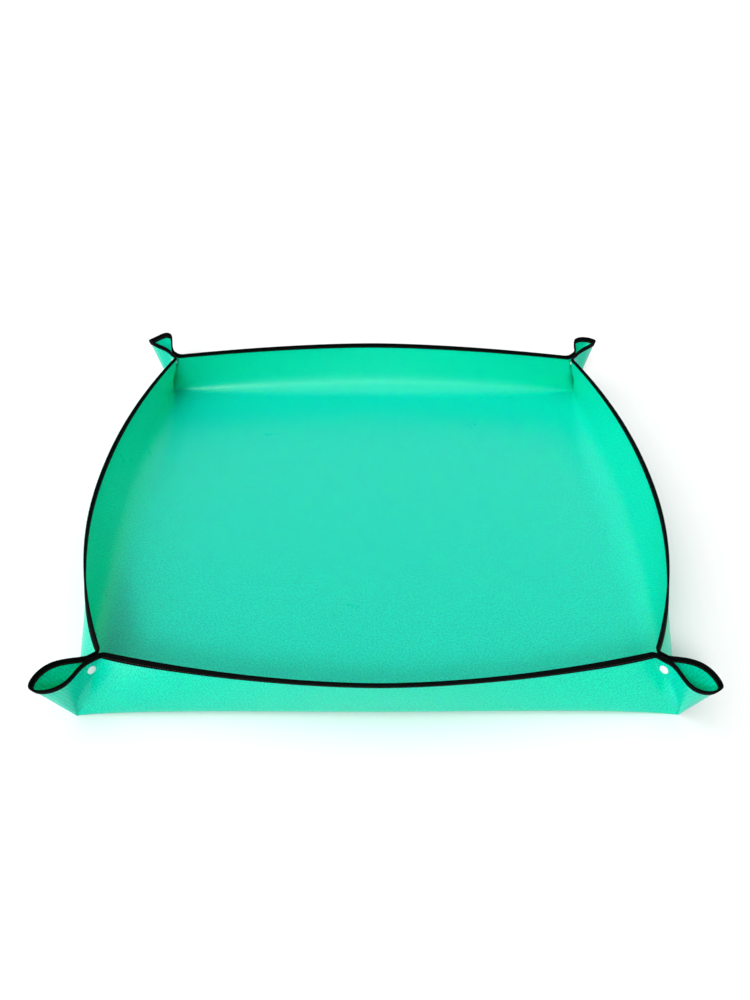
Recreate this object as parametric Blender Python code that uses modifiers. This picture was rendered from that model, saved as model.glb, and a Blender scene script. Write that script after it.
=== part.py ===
"""Repotting mat: a square of coated cloth, folded up at four sides and snapped together at its corners.

The floor panel lies on the bench. Each wall turns about its fold line, and at each corner the cloth runs
on past the walls as an ear, an open cone of two halves that one snap fastener pinches together. A tape
folded over the edge binds the walls and the ears. Metres, +Z up, +Y to the back. The origin is the centre
of the floor panel's underside.
"""

import math

import bmesh
import bpy
import numpy as np
from mathutils import Vector

# Cloth, cut 1.000 m square
FLOOR_SIDE = 0.810
WALL_REACH = 0.095
CLOTH_THICKNESS = 0.0006
FOLD_CLEARANCE = 0.0004
CREASE_CLEARANCE = 0.0005
FLOOR_CORNER_CUT = 0.014

# Corner pinch: how far in from the floor's corner, and how high, the two walls meet at the rim
FRONT_PINCH_INSET = 0.0385
FRONT_PINCH_HEIGHT = 0.0850
BACK_PINCH_INSET = 0.0240
BACK_PINCH_HEIGHT = 0.0925
PINCH_SPREAD = 0.0030
APEX_SPREAD = 0.00045

# Middle of each rim: how far outside its fold line, and how high
FRONT_RIM_LEAN = 0.0220
FRONT_RIM_HEIGHT = 0.0915
BACK_RIM_LEAN = 0.0240
BACK_RIM_HEIGHT = 0.0930
SIDE_RIM_LEAN = 0.0470
SIDE_RIM_HEIGHT = 0.0825
FRONT_BOW_POWER = 1.8
BACK_BOW_POWER = 1.7
SIDE_BOW_POWER = 2.1

# Belly of a wall near its corners and in its middle, and where along the wall it peaks
FRONT_LEFT_BELLY = 0.0100
FRONT_RIGHT_BELLY = 0.0080
BACK_BELLY = 0.0010
MIDDLE_BELLY = 0.0025
BELLY_RISE_POWER = 4
BELLY_FALL_POWER = 8

# Ears: how far outside the floor's corner, and how high, each one's tip is, and its loop's round end.
# Ear halves: how far each swings out from the middle plane, and how far its rim arches up
FRONT_LEFT_EAR_REACH = 0.0320
FRONT_LEFT_EAR_HEIGHT = 0.0970
FRONT_LEFT_LOOP_LENGTH = 0.0290
FRONT_LEFT_FRONT_WIDTH = 0.0205
FRONT_LEFT_FRONT_ARCH = 0.0005
FRONT_LEFT_SIDE_WIDTH = 0.0130
FRONT_LEFT_SIDE_ARCH = 0.0095

FRONT_RIGHT_EAR_REACH = 0.0285
FRONT_RIGHT_EAR_HEIGHT = 0.0925
FRONT_RIGHT_LOOP_LENGTH = 0.0240
FRONT_RIGHT_FRONT_WIDTH = 0.0260
FRONT_RIGHT_FRONT_ARCH = 0.0040
FRONT_RIGHT_SIDE_WIDTH = 0.0085
FRONT_RIGHT_SIDE_ARCH = 0.0130

BACK_LEFT_EAR_REACH = 0.0370
BACK_LEFT_EAR_HEIGHT = 0.0945
BACK_LEFT_LOOP_LENGTH = 0.0340
BACK_LEFT_BACK_WIDTH = 0.0210
BACK_LEFT_BACK_ARCH = 0.0170
BACK_LEFT_SIDE_WIDTH = 0.0170
BACK_LEFT_SIDE_ARCH = 0.0130

BACK_RIGHT_EAR_REACH = 0.0335
BACK_RIGHT_EAR_HEIGHT = 0.0985
BACK_RIGHT_LOOP_LENGTH = 0.0280
BACK_RIGHT_BACK_WIDTH = 0.0240
BACK_RIGHT_BACK_ARCH = 0.0050
BACK_RIGHT_SIDE_WIDTH = 0.0110
BACK_RIGHT_SIDE_ARCH = 0.0080

EAR_PINCH_LENGTH = 0.0180
EAR_TIP_CLEARANCE = 0.00025
EAR_APEX_CUT = 0.0090

# Edge tape
TAPE_WIDTH = 0.0075
TAPE_THICKNESS = 0.0010
TAPE_CLEARANCE = 0.0003
TAPE_END_CLEARANCE = 0.0014
TAPE_TIP_CLEARANCE = 0.0005

# Path of the folded tape: place along it, aside of the cloth, past its edge, and down its face
TAPE_PLACE_SHARES = (0.0, 0.2, 0.4, 0.6, 0.8, 1.0)
TAPE_ASIDE_SHARES = (-1.0, -1.0, -0.55, 0.55, 1.0, 1.0)
TAPE_FOLD_SHARES = (0.0, 0.0, 1.0, 1.0, 0.0, 0.0)
TAPE_DOWN_SHARES = (1.0, 0.0, 0.0, 0.0, 0.0, 1.0)

# Snap fastener
SNAP_BELOW_RIM = 0.0190
SNAP_FROM_CREASE = 0.0072
CAP_RADIUS = 0.0062
CAP_RIM_THICKNESS = 0.0006
CAP_CROWN_RISE = 0.0011
POST_RADIUS = 0.0010
RIVET_HEAD_RADIUS = 0.0015
RIVET_HEAD_LENGTH = 0.0005
SNAP_CLEARANCE = 0.0003
CLOTH_HOLE_RADIUS = POST_RADIUS + SNAP_CLEARANCE
SNAP_BODY_RADIUS = 0.0050
SNAP_WEB = 0.0010
SOCKET_DEPTH = 0.0023
SOCKET_MOUTH_RADIUS = 0.0026
SOCKET_LIP_RADIUS = 0.0034
STUD_ENTRY = 0.0010
STUD_NECK_DROP = 0.0001
EDGE_ROUND = 0.0004

# Shares of an ear half's stations: up to the end of the pinch, and up to the loop's widest place
PINCH_SHARE = 0.2
WIDEST_SHARE = 0.6

# Fineness of the facets
WALL_STEPS = 24
SECTION_STEPS = 5
EAR_STEPS = 15
EAR_SECTION_STEPS = 3
SNAP_STEPS = 16
HOLE_SIDES = 16
CROWN_POINTS = 6
SLOPE_STEP_SHARE = 0.0001
MERGE_DISTANCE = 0.00001

HALF = FLOOR_SIDE / 2
CLOTH_HALF = CLOTH_THICKNESS / 2
UP = np.array([0.0, 0.0, 1.0])
FLOOR_LEVEL = CLOTH_HALF * UP

GREEN = (0.022, 0.665, 0.455, 1.0)
BLACK = (0.008, 0.009, 0.010, 1.0)
WHITE = (0.830, 0.850, 0.850, 1.0)

# Walls: outward direction, direction along the wall from its first corner to its second, corner names
WALLS = {
    "front": ((0, -1), (1, 0), "front_left", "front_right"),
    "back": ((0, 1), (-1, 0), "back_right", "back_left"),
    "left": ((-1, 0), (0, -1), "back_left", "front_left"),
    "right": ((1, 0), (0, 1), "front_right", "back_right"),
}
RIMS = {
    "front": (FRONT_RIM_LEAN, FRONT_RIM_HEIGHT, FRONT_BOW_POWER),
    "back": (BACK_RIM_LEAN, BACK_RIM_HEIGHT, BACK_BOW_POWER),
    "left": (SIDE_RIM_LEAN, SIDE_RIM_HEIGHT, SIDE_BOW_POWER),
    "right": (SIDE_RIM_LEAN, SIDE_RIM_HEIGHT, SIDE_BOW_POWER),
}

# Pinches: inset, height, and the belly of the walls beside it
FRONT_LEFT_PINCH = (FRONT_PINCH_INSET, FRONT_PINCH_HEIGHT, FRONT_LEFT_BELLY)
FRONT_RIGHT_PINCH = (FRONT_PINCH_INSET, FRONT_PINCH_HEIGHT, FRONT_RIGHT_BELLY)
BACK_PINCH = (BACK_PINCH_INSET, BACK_PINCH_HEIGHT, BACK_BELLY)

# Ears: reach and height of the tip, and length of the loop's round end
FRONT_LEFT_EAR = (FRONT_LEFT_EAR_REACH, FRONT_LEFT_EAR_HEIGHT, FRONT_LEFT_LOOP_LENGTH)
FRONT_RIGHT_EAR = (FRONT_RIGHT_EAR_REACH, FRONT_RIGHT_EAR_HEIGHT, FRONT_RIGHT_LOOP_LENGTH)
BACK_LEFT_EAR = (BACK_LEFT_EAR_REACH, BACK_LEFT_EAR_HEIGHT, BACK_LEFT_LOOP_LENGTH)
BACK_RIGHT_EAR = (BACK_RIGHT_EAR_REACH, BACK_RIGHT_EAR_HEIGHT, BACK_RIGHT_LOOP_LENGTH)

# Corners: side signs, pinch, ear, then width and arch of the half on the front or back wall's side and
# of the half on the side wall's
CORNERS = {
    "front_left": (
        (-1, -1), FRONT_LEFT_PINCH, FRONT_LEFT_EAR,
        (FRONT_LEFT_FRONT_WIDTH, FRONT_LEFT_FRONT_ARCH), (FRONT_LEFT_SIDE_WIDTH, FRONT_LEFT_SIDE_ARCH),
    ),
    "front_right": (
        (1, -1), FRONT_RIGHT_PINCH, FRONT_RIGHT_EAR,
        (FRONT_RIGHT_FRONT_WIDTH, FRONT_RIGHT_FRONT_ARCH), (FRONT_RIGHT_SIDE_WIDTH, FRONT_RIGHT_SIDE_ARCH),
    ),
    "back_left": (
        (-1, 1), BACK_PINCH, BACK_LEFT_EAR,
        (BACK_LEFT_BACK_WIDTH, BACK_LEFT_BACK_ARCH), (BACK_LEFT_SIDE_WIDTH, BACK_LEFT_SIDE_ARCH),
    ),
    "back_right": (
        (1, 1), BACK_PINCH, BACK_RIGHT_EAR,
        (BACK_RIGHT_BACK_WIDTH, BACK_RIGHT_BACK_ARCH), (BACK_RIGHT_SIDE_WIDTH, BACK_RIGHT_SIDE_ARCH),
    ),
}


def flat(pair):
    """A level direction from its two signs."""
    return np.array([pair[0], pair[1], 0.0])


def unit(vectors):
    return vectors / np.linalg.norm(vectors, axis=-1, keepdims=True)


def half_name(wall_name):
    """What an ear's half is called: after the front or back wall, or side for the left or right one."""
    return "side" if wall_name in ("left", "right") else wall_name


def clear_scene():
    for old in list(bpy.data.objects):
        bpy.data.objects.remove(old, do_unlink=True)


def new_collection(name):
    collection = bpy.data.collections.new(name)
    bpy.context.scene.collection.children.link(collection)
    return collection


def new_material(name, colour, roughness, metallic=0.0):
    material = bpy.data.materials.new(name)
    material.use_nodes = True
    shader = material.node_tree.nodes["Principled BSDF"]
    shader.inputs["Base Color"].default_value = colour
    shader.inputs["Roughness"].default_value = roughness
    shader.inputs["Metallic"].default_value = metallic
    material.diffuse_color = colour
    return material


class Corner:
    """One corner: the apex on the floor, the pinch at the rim and the ear that runs out past it."""

    def __init__(self, name):
        signs, pinch, ear, *self.halves = CORNERS[name]
        self.inset, self.height, self.belly = pinch
        self.reach, self.ear_height, self.loop_length = ear
        self.name = name
        self.out = unit(flat(signs))
        self.apex = HALF * flat(signs) + FLOOR_LEVEL
        self.pinch = (HALF - self.inset) * flat(signs) + self.height * UP
        self.ear_length = math.sqrt(2) * (self.inset + self.reach)

    def aside(self, wall_out):
        """Level direction square to the ear's middle plane, to the side that the given wall is on."""
        across = wall_out - np.dot(wall_out, self.out) * self.out
        return unit(across)

    def crease(self, wall_out):
        """Both ends of the line where that wall turns into its half of the ear."""
        aside = self.aside(wall_out)
        return self.apex + APEX_SPREAD * aside, self.pinch + PINCH_SPREAD * aside

    def half(self, wall_out):
        """Width and arch of the ear's half on that wall's side."""
        return self.halves[1] if wall_out[0] else self.halves[0]

    def loop(self, share, width):
        """Distance out along the ear and aside from its middle plane, from the pinch round to the tip.

        The strand runs straight through the pinch, swings out to its width in an S, and closes in a
        quarter of an ellipse.
        """
        widest = self.ear_length - self.loop_length
        swing = np.clip((share - PINCH_SHARE) / (WIDEST_SHARE - PINCH_SHARE), 0, 1)
        turn = math.pi / 2 * np.clip((share - WIDEST_SHARE) / (1 - WIDEST_SHARE), 0, 1)
        ease = swing * swing * (3 - 2 * swing)
        along = EAR_PINCH_LENGTH * np.clip(share / PINCH_SHARE, 0, 1)
        along = along + (widest - EAR_PINCH_LENGTH) * swing + self.loop_length * np.sin(turn)
        aside = PINCH_SPREAD + (width - PINCH_SPREAD) * ease
        return along, aside * np.cos(turn)

    def loop_end(self, wall_out, clearance):
        """How far round the loop a strand stops when it stands this far from the ear's middle plane."""
        width, _ = self.half(wall_out)
        turn = math.acos(clearance / width)
        return WIDEST_SHARE + (1 - WIDEST_SHARE) * turn / (math.pi / 2)

    def ear(self, wall_out, share, rise):
        """Middle surface of one ear half: straight lines from the apex (rise 0) to the rim (rise 1).

        Past the pinch the rim arches, by half a sine wave, over the line from the pinch to the tip.
        """
        width, arch = self.half(wall_out)
        along, aside = self.loop(share, width)
        across = self.aside(wall_out)
        past_pinch = np.clip((along - EAR_PINCH_LENGTH) / (self.ear_length - EAR_PINCH_LENGTH), 0, 1)
        lift = self.height + (self.ear_height - self.height) * along / self.ear_length
        lift = lift + arch * np.sin(math.pi * past_pinch)
        level = (HALF - self.inset) * math.sqrt(2) + along
        rim = level[..., None] * self.out + aside[..., None] * across + lift[..., None] * UP
        start = self.apex + APEX_SPREAD * across
        return start + rise[..., None] * (rim - start)


def wall_surface(name, across, rise):
    """Middle surface of a wall: across runs from -1 to 1 between its corners, rise from fold to rim.

    The rim leans out in the middle by a power of the distance from it and is drawn in at both pinches.
    Each section is a straight line from fold to rim with a belly, a parabola that dies out at the creases.
    """
    out_pair, along_pair, first, second = WALLS[name]
    out, along = flat(out_pair), flat(along_pair)
    lean, height, power = RIMS[name]
    ends = [Corner(first), Corner(second)]
    creases = [end.crease(out) for end in ends]
    is_second = (across > 0)[..., None]
    far = np.where(is_second, creases[1][1], creases[0][1])

    bow = (np.abs(across) ** power)[..., None]
    middle = (HALF + lean) * out + height * UP
    rim_ends = [np.dot(crease[1], along) for crease in creases]
    rim_middle = (rim_ends[0] + rim_ends[1]) / 2
    rim_half = (rim_ends[1] - rim_ends[0]) / 2
    rim = middle + bow * (far - middle)
    rim = rim + (rim_middle + rim_half * across - rim @ along)[..., None] * along

    near = np.where(is_second, creases[1][0], creases[0][0])
    base = HALF * out + FLOOR_LEVEL
    base = base + (np.abs(across) ** BELLY_FALL_POWER)[..., None] * (near - base)
    base_ends = [np.dot(crease[0], along) for crease in creases]
    base = base + (base_ends[1] * across - base @ along)[..., None] * along

    chord = rim - base
    chord = chord - (chord @ along)[..., None] * along
    belly_way = unit(np.cross(along, chord))
    belly_way = belly_way * np.sign(belly_way @ out)[..., None]
    peak = (BELLY_RISE_POWER / (BELLY_RISE_POWER + BELLY_FALL_POWER)) ** (1 / BELLY_FALL_POWER)
    full = peak**BELLY_RISE_POWER * (1 - peak**BELLY_FALL_POWER)
    near_end = np.abs(across) ** BELLY_RISE_POWER * (1 - np.abs(across) ** BELLY_FALL_POWER) / full
    end_belly = np.where(across > 0, ends[1].belly, ends[0].belly)
    belly = end_belly * near_end + MIDDLE_BELLY * (1 - across**2)
    arch = 4 * rise * (1 - rise) * belly
    return base + rise[..., None] * (rim - base) + arch[..., None] * belly_way


def surface_frame(surface, across, rise):
    """Point, unit direction towards the rim, and unit normal."""
    step = SLOPE_STEP_SHARE
    point = surface(across, rise)
    tangent = unit(surface(across + step, rise) - surface(across - step, rise))
    towards = surface(across, rise + step) - surface(across, rise - step)
    towards = unit(towards - np.sum(towards * tangent, axis=-1, keepdims=True) * tangent)
    return point, towards, np.cross(tangent, towards)


def object_from(bm, name, collection, material, pivot):
    """A mesh object with its points measured from its pivot, an empty on the joint's axis."""
    origin = pivot.matrix_world.translation.copy() if pivot else Vector((0, 0, 0))
    bmesh.ops.translate(bm, verts=bm.verts, vec=-origin)
    mesh = bpy.data.meshes.new(name)
    bm.to_mesh(mesh)
    bm.free()
    mesh.materials.append(material)
    obj = bpy.data.objects.new(name, mesh)
    collection.objects.link(obj)
    obj.parent = pivot
    return obj


def bent_grid(shape, steps_across, steps_up):
    """A flat grid whose points are moved to shape(across share, up share).

    Its twisted quads are split on their short diagonals, so that cloth and tape bend the same way.
    """
    bm = bmesh.new()
    bmesh.ops.create_grid(bm, x_segments=steps_across, y_segments=steps_up, size=HALF)
    shares = np.array([vert.co[:] for vert in bm.verts]) / FLOOR_SIDE + 0.5
    points = shape(shares[:, 0], shares[:, 1])
    for vert, point in zip(bm.verts, points):
        vert.co = point
    bmesh.ops.triangulate(bm, faces=bm.faces, quad_method="SHORT_EDGE")
    return bm


def thicken(obj, thickness):
    """Gives an open surface its thickness, half to each side."""
    solidify = obj.modifiers.new("Thickness", "SOLIDIFY")
    solidify.thickness = thickness
    solidify.offset = 0
    solidify.use_even_offset = True
    obj.data.shade_smooth()
    return obj


def rows(share, start, steps):
    """Rises of a sheet's rows: even steps from its start up to the tape's edge, and one under the tape."""
    below = (steps - 1) / steps
    first = start / WALL_REACH
    tape_edge = 1 - TAPE_WIDTH / WALL_REACH
    lower = first + (tape_edge - first) * share / below
    upper = tape_edge + (1 - tape_edge) * (share - below) / (1 - below)
    return np.where(share < below, lower, upper)


def tape_points(surface, across, place):
    """The middle of a tape folded over a surface's rim: place runs up one face, over the edge and down.

    Both sides follow the cloth at the tape's offset from it, and the fold stands off its edge.
    """
    offset = CLOTH_HALF + TAPE_CLEARANCE + TAPE_THICKNESS / 2
    stand_off = TAPE_CLEARANCE + TAPE_THICKNESS / 2
    aside = offset * np.interp(place, TAPE_PLACE_SHARES, TAPE_ASIDE_SHARES)
    beyond = stand_off * np.interp(place, TAPE_PLACE_SHARES, TAPE_FOLD_SHARES)
    rise = 1 - TAPE_WIDTH / WALL_REACH * np.interp(place, TAPE_PLACE_SHARES, TAPE_DOWN_SHARES)
    point, towards, normal = surface_frame(surface, across, rise)
    return point + aside[:, None] * normal + beyond[:, None] * towards


def make_tape(name, surface, across_of, steps, collection, material, pivot):
    """A tape over the rim of a surface, at the same stations as its cloth."""

    def shape(first, second):
        return tape_points(surface, across_of(first), second)

    bm = bent_grid(shape, steps, len(TAPE_PLACE_SHARES) - 1)
    return thicken(object_from(bm, name, collection, material, pivot), TAPE_THICKNESS)


def make_pivot(name, place, collection, parent=None):
    """An empty on a joint's axis."""
    pivot = bpy.data.objects.new(name, None)
    pivot.empty_display_size = TAPE_WIDTH
    collection.objects.link(pivot)
    pivot.parent = parent
    carried = parent.matrix_world.translation if parent else Vector((0, 0, 0))
    pivot.location = Vector(place) - carried
    bpy.context.view_layer.update()
    return pivot


def make_floor(collection, material):
    """The level panel, with its four corners cut off under the apexes of the ears."""
    bm = bmesh.new()
    side = FLOOR_SIDE - 2 * FOLD_CLEARANCE
    bmesh.ops.create_cube(bm, size=side)
    bmesh.ops.scale(bm, verts=bm.verts, vec=(1, 1, CLOTH_THICKNESS / side))
    upright = [edge for edge in bm.edges if abs(edge.verts[0].co.z - edge.verts[1].co.z) > CLOTH_HALF]
    bmesh.ops.bevel(bm, geom=upright, offset=FLOOR_CORNER_CUT, segments=1, affect="EDGES")
    bmesh.ops.translate(bm, verts=bm.verts, vec=FLOOR_LEVEL)
    return object_from(bm, "floor_panel", collection, material, None)


def make_wall(name, collection, cloth, tape, pivot):
    """A wall's cloth and the tape over its rim. Stations crowd towards the creases."""

    def surface(across, rise):
        return wall_surface(name, across, rise)

    def stations(share, end_clearance):
        most = 1 - end_clearance / HALF
        return np.clip(np.sin(math.pi * (share - 0.5)), -most, most)

    def shape(first, second):
        return surface(stations(first, CREASE_CLEARANCE), rows(second, FOLD_CLEARANCE, SECTION_STEPS))

    bm = bent_grid(shape, WALL_STEPS, SECTION_STEPS)
    thicken(object_from(bm, f"{name}_wall", collection, cloth, pivot), CLOTH_THICKNESS)
    make_tape(
        f"{name}_wall_tape", surface, lambda share: stations(share, TAPE_END_CLEARANCE), WALL_STEPS,
        collection, tape, pivot,
    )


def make_ear_half(corner, wall_name, collection, cloth, tape, pivot, cutter):
    """One half of an ear, from its wall's crease to the tip, with the snap's hole and its tape."""
    wall_out = flat(WALLS[wall_name][0])
    name = f"{corner.name}_ear_{half_name(wall_name)}"

    def surface(share, rise):
        return corner.ear(wall_out, share, rise)

    def stations(share, crease_clearance, tip_clearance):
        first = PINCH_SHARE * crease_clearance / EAR_PINCH_LENGTH
        return np.clip(share, first, corner.loop_end(wall_out, tip_clearance))

    def shape(first, second):
        across = stations(first, CREASE_CLEARANCE, EAR_TIP_CLEARANCE)
        return surface(across, rows(second, EAR_APEX_CUT, EAR_SECTION_STEPS))

    bm = bent_grid(shape, EAR_STEPS, EAR_SECTION_STEPS)
    half = object_from(bm, name, collection, cloth, pivot)
    thicken(half, CLOTH_THICKNESS)
    hole = half.modifiers.new("Snap hole", "BOOLEAN")
    hole.operation = "DIFFERENCE"
    hole.object = cutter
    make_tape(
        f"{name}_tape", surface,
        lambda share: stations(share, TAPE_END_CLEARANCE, TAPE_TIP_CLEARANCE), EAR_STEPS,
        collection, tape, pivot,
    )


def snap_place(corner):
    """Middle of the snap on the ear's middle plane, and how far each sheet's middle stands from it."""
    rise = 1 - SNAP_BELOW_RIM / corner.height
    along_share = SNAP_FROM_CREASE / rise / EAR_PINCH_LENGTH
    loop_share = np.array([PINCH_SHARE * along_share])
    wall_out = flat((0, corner.out[1] / abs(corner.out[1])))
    point = corner.ear(wall_out, loop_share, np.array([rise]))[0]
    spread = np.dot(point - corner.apex, corner.aside(wall_out))
    return point - spread * corner.aside(wall_out), spread


def turned(name, profile, place, axis, collection, material, pivot):
    """A piece turned about an axis: the profile lists radius and height, down its outer side."""
    mesh = bpy.data.meshes.new(name)
    points = [(radius, 0, height) for radius, height in profile]
    mesh.from_pydata(points, [(i, i + 1) for i in range(len(points) - 1)], [])
    mesh.materials.append(material)
    obj = bpy.data.objects.new(name, mesh)
    collection.objects.link(obj)
    obj.parent = pivot
    obj.location = Vector(place) - pivot.matrix_world.translation
    obj.rotation_mode = "QUATERNION"
    obj.rotation_quaternion = Vector(axis).to_track_quat("Z", "Y")
    screw = obj.modifiers.new("Turn", "SCREW")
    screw.axis = "Z"
    screw.steps = SNAP_STEPS
    screw.render_steps = SNAP_STEPS
    screw.use_merge_vertices = True
    screw.merge_threshold = MERGE_DISTANCE
    return obj


def cap_profile(seat, post_end):
    """Cap: a low crown over a thin rim on its seat, and a post with a flared rivet head down to its end."""
    rim_top = seat + CAP_RIM_THICKNESS
    crown = [
        (CAP_RADIUS * math.sin(turn), rim_top + CAP_CROWN_RISE * math.cos(turn))
        for turn in np.linspace(0, math.pi / 2, CROWN_POINTS)
    ]
    return crown + [
        (CAP_RADIUS, seat),
        (POST_RADIUS, seat),
        (POST_RADIUS, post_end + RIVET_HEAD_LENGTH),
        (RIVET_HEAD_RADIUS, post_end),
        (0, post_end),
    ]


def countersink(back):
    """The hole through a web, from its inner end to its back: clear of the post and of its head."""
    head_end = back - SNAP_WEB
    return [
        (RIVET_HEAD_RADIUS + SNAP_CLEARANCE, head_end),
        (CLOTH_HOLE_RADIUS, head_end + RIVET_HEAD_LENGTH),
        (CLOTH_HOLE_RADIUS, back),
    ]


def socket_profile(back):
    """Socket: a round body whose mouth opens away from its sheet. Back is its height at the sheet."""
    mouth = back - SOCKET_DEPTH
    hole = countersink(back)
    return [
        hole[-1],
        (SNAP_BODY_RADIUS - EDGE_ROUND, back),
        (SNAP_BODY_RADIUS, back - EDGE_ROUND),
        (SOCKET_LIP_RADIUS + EDGE_ROUND, mouth),
        (SOCKET_MOUTH_RADIUS, mouth),
        (SOCKET_MOUTH_RADIUS, back - SNAP_WEB),
        *hole,
    ]


def stud_profile(back):
    """Stud: a flange with a hollow round boss that enters the socket. Back is its height at the sheet."""
    face = back - SNAP_WEB
    tip = face - SNAP_CLEARANCE - STUD_ENTRY
    boss = SOCKET_MOUTH_RADIUS - SNAP_CLEARANCE
    hole = countersink(back)
    return [
        hole[-1],
        (SNAP_BODY_RADIUS - EDGE_ROUND, back),
        (SNAP_BODY_RADIUS, back - EDGE_ROUND),
        (SNAP_BODY_RADIUS, face),
        (boss - STUD_NECK_DROP, face),
        (boss, tip + EDGE_ROUND),
        (boss - EDGE_ROUND, tip),
        (RIVET_HEAD_RADIUS + SNAP_CLEARANCE, tip),
        *hole,
    ]


def make_snap(corner, halves, collection, material):
    """Two caps, a socket and a stud. Every profile's heights are measured from the middle plane."""
    place, spread = snap_place(corner)
    seat = spread + CLOTH_HALF + SNAP_CLEARANCE
    back = spread - CLOTH_HALF - SNAP_CLEARANCE
    for wall_name, inner_name, inner_profile in (
        (halves[0][0], "socket", socket_profile(back)),
        (halves[1][0], "stud", stud_profile(back)),
    ):
        pivot = dict(halves)[wall_name]
        cap_name = f"{corner.name}_snap_cap_{half_name(wall_name)}"
        axis = corner.aside(flat(WALLS[wall_name][0]))
        cap = cap_profile(seat, back - SNAP_WEB)
        turned(cap_name, cap, place, axis, collection, material, pivot)
        turned(f"{corner.name}_snap_{inner_name}", inner_profile, place, axis, collection, material, pivot)


def make_hole_cutter(corner, collection):
    """A rod through both sheets at the snap."""
    place, spread = snap_place(corner)
    bm = bmesh.new()
    reach = spread + CLOTH_THICKNESS
    bmesh.ops.create_cone(
        bm, cap_ends=True, segments=HOLE_SIDES, radius1=CLOTH_HOLE_RADIUS, radius2=CLOTH_HOLE_RADIUS,
        depth=2 * reach,
    )
    mesh = bpy.data.meshes.new(f"{corner.name}_snap_hole")
    bm.to_mesh(mesh)
    bm.free()
    cutter = bpy.data.objects.new(mesh.name, mesh)
    collection.objects.link(cutter)
    cutter.location = place
    cutter.rotation_mode = "QUATERNION"
    cutter.rotation_quaternion = Vector(corner.aside(flat((0, corner.out[1])))).to_track_quat("Z", "Y")
    cutter.hide_render = True
    cutter.display_type = "WIRE"
    return cutter


def main():
    clear_scene()
    parts = new_collection("repotting_mat")
    cutters = new_collection("repotting_mat_cutters")
    cloth = new_material("coated_cloth", GREEN, 0.45)
    tape = new_material("edge_tape", BLACK, 0.80)
    plastic = new_material("snap_plastic", WHITE, 0.30)

    make_floor(parts, cloth)
    wall_pivots = {}
    for name, (out_pair, *_) in WALLS.items():
        pivot = make_pivot(f"{name}_fold", HALF * flat(out_pair) + FLOOR_LEVEL, parts)
        wall_pivots[name] = pivot
        make_wall(name, parts, cloth, tape, pivot)

    for corner_name in CORNERS:
        corner = Corner(corner_name)
        cutter = make_hole_cutter(corner, cutters)
        halves = []
        for wall_name in corner_name.split("_"):
            start, _ = corner.crease(flat(WALLS[wall_name][0]))
            pivot = make_pivot(f"{corner_name}_{wall_name}_crease", start, parts, wall_pivots[wall_name])
            make_ear_half(corner, wall_name, parts, cloth, tape, pivot, cutter)
            halves.append((wall_name, pivot))
        make_snap(corner, halves, parts, plastic)


main()
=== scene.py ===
"""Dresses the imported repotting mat: coated cloth, bound edges with their stitching, and snap fasteners.

The cloth is one square sheet. Its floor panel, four walls and eight ear halves are separate pieces so that
they can move, but every one is cut from the same surface: two pieces share the points and the slopes of
the seam between them. Metres, +Z up, +Y to the back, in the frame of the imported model.
"""

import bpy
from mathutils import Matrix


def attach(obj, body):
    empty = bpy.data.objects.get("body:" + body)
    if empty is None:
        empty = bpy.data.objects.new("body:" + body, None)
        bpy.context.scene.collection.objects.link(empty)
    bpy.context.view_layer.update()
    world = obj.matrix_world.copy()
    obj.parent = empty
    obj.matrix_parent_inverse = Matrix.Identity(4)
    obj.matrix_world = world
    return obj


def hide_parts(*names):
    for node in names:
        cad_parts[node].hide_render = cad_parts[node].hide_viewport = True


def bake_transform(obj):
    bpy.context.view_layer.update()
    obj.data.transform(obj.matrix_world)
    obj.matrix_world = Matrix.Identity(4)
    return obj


bl_info = {
    "name": "Repotting Mat",
    "version": (1, 0, 0),
    "blender": (4, 5, 0),
    "location": "3D View > Sidebar > Repotting Mat",
    "description": "Makes the cloth, edge binding, stitching and snaps of a fold-up repotting mat",
    "category": "Object",
}

import math

import bmesh
import bpy
import numpy as np
from mathutils import Matrix, Vector

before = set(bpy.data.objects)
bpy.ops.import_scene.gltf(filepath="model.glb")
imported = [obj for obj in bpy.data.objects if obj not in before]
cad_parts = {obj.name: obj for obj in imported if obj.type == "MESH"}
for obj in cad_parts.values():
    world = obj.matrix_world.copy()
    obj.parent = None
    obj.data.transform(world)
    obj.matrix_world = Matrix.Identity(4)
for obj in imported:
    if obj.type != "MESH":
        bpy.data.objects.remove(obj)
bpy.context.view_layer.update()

UP = np.array([0.0, 0.0, 1.0])

# The cut: floor panel, walls, and where floor and wall pieces meet inside the fold
FLOOR_SIDE = 0.810
HALF = FLOOR_SIDE / 2
WALL_REACH = 0.095
SEAM_INSET = 0.040

# Half the cloth's thickness, and the height of its middle, which leaves a hair of air over the bench
SHEET_HALF = 0.0003
FLOOR_LEVEL = SHEET_HALF + 0.00005

# How far an ear half's middle stands from the ear's middle plane, at the apex and at the pinch, and how
# far in over the floor that room at the apex has closed
APEX_SPREAD = 0.00032
PINCH_SPREAD = 0.0030
SPREAD_CLOSED_PAST = 0.004

# Softness of the folds between floor and walls, which turn crisp by a power of the distance from the middle
FOLD_CRISP = 0.0015
FOLD_CRISP_POWER = 6

# Softness of the creases between walls and ears, and the shares of their height where it changes
CREASE_CRISP = 0.0016
CREASE_SOFT = 0.013
CREASE_SHARP_BELOW_SHARE = 0.1
CREASE_SOFT_BELOW_SHARE = 0.66
CREASE_RIM_ABOVE_SHARE = 0.87
LEAST_RISE = 1e-4

# Belly of a wall in its middle, and where along the wall the belly beside a corner peaks
MIDDLE_BELLY = 0.0025
BELLY_RISE_POWER = 4
BELLY_FALL_POWER = 8

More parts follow.
